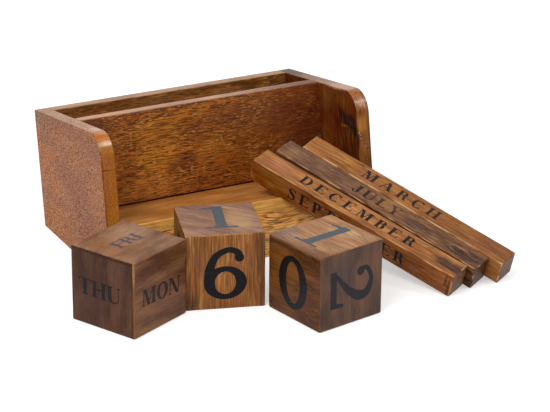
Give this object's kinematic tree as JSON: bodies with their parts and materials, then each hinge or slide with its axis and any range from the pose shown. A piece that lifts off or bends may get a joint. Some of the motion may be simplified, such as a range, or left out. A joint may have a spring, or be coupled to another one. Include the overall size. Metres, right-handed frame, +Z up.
{
  "type": "perpetual desk calendar",
  "caption": "Wooden perpetual desk calendar: a leaning tray with a rear slot for cards and pens, loose weekday and date cubes, and loose month bars leaning on its front.",
  "frame": {"origin": "middle of the front apron's underside, on the surface the calendar stands on, half-way along the tray", "axes": "+X runs along the tray from the left cheek to the right one, +Y from its open front to its back, +Z up from the table"},
  "size_m": [0.2765, 0.244, 0.0951],
  "materials": {
    "left_cheek": "satin lacquered hardwood, fine pinkish brown stipple",
    "right_cheek": "satin lacquered hardwood, dark red-brown with a black knot figure",
    "back_panel": "satin lacquered hardwood, olive-brown",
    "divider": "satin lacquered hardwood, red-brown with golden fibrous grain",
    "floor_board": "satin lacquered hardwood, orange-brown streaks",
    "front_apron": "satin lacquered hardwood, yellow wavy grain",
    "dowel_wood": "plain beech",
    "weekday_cube": "satin lacquered hardwood, dark brown, printed weekdays",
    "date_cube_left": "satin lacquered hardwood, golden brown, printed digits",
    "date_cube_right": "satin lacquered hardwood, golden and grey-brown, printed digits",
    "month_bar_left": "satin lacquered hardwood, light orange-tan, printed months",
    "month_bar_middle": "satin lacquered hardwood, dark purple-brown, printed months",
    "month_bar_right": "satin lacquered hardwood, mid brown, printed months"
  },
  "bodies": {
    "tray": {"left_cheek": "left_cheek", "right_cheek": "right_cheek", "back_panel": "back_panel", "divider": "divider", "floor_board": "floor_board", "front_apron": "front_apron", "back_dowels": "dowel_wood", "divider_dowels": "dowel_wood", "floor_dowels": "dowel_wood", "apron_dowels": "dowel_wood"},
    "weekday_cube": {"weekday_cube": "weekday_cube"},
    "date_cube_left": {"date_cube_left": "date_cube_left"},
    "date_cube_right": {"date_cube_right": "date_cube_right"},
    "month_bar_left": {"month_bar_left": "month_bar_left"},
    "month_bar_middle": {"month_bar_middle": "month_bar_middle"},
    "month_bar_right": {"month_bar_right": "month_bar_right"}
  },
  "joints": [
    {"name": "weekday_cube_lift", "type": "slide", "parent": "tray", "child": "weekday_cube", "axis": [0, 0, 1], "range_m": [0, 0.105]},
    {"name": "date_cube_left_lift", "type": "slide", "parent": "tray", "child": "date_cube_left", "axis": [0, 0, 1], "range_m": [0, 0.105]},
    {"name": "date_cube_right_lift", "type": "slide", "parent": "tray", "child": "date_cube_right", "axis": [0, 0, 1], "range_m": [0, 0.105]},
    {"name": "month_bar_left_lift", "type": "slide", "parent": "tray", "child": "month_bar_left", "axis": [0, -0.3221, 0.9467], "range_m": [0, 0.105]},
    {"name": "month_bar_middle_lift", "type": "slide", "parent": "tray", "child": "month_bar_middle", "axis": [0, -0.3357, 0.942], "range_m": [0, 0.105]},
    {"name": "month_bar_right_lift", "type": "slide", "parent": "tray", "child": "month_bar_right", "axis": [0, -0.3343, 0.9425], "range_m": [0, 0.105]}
  ]
}
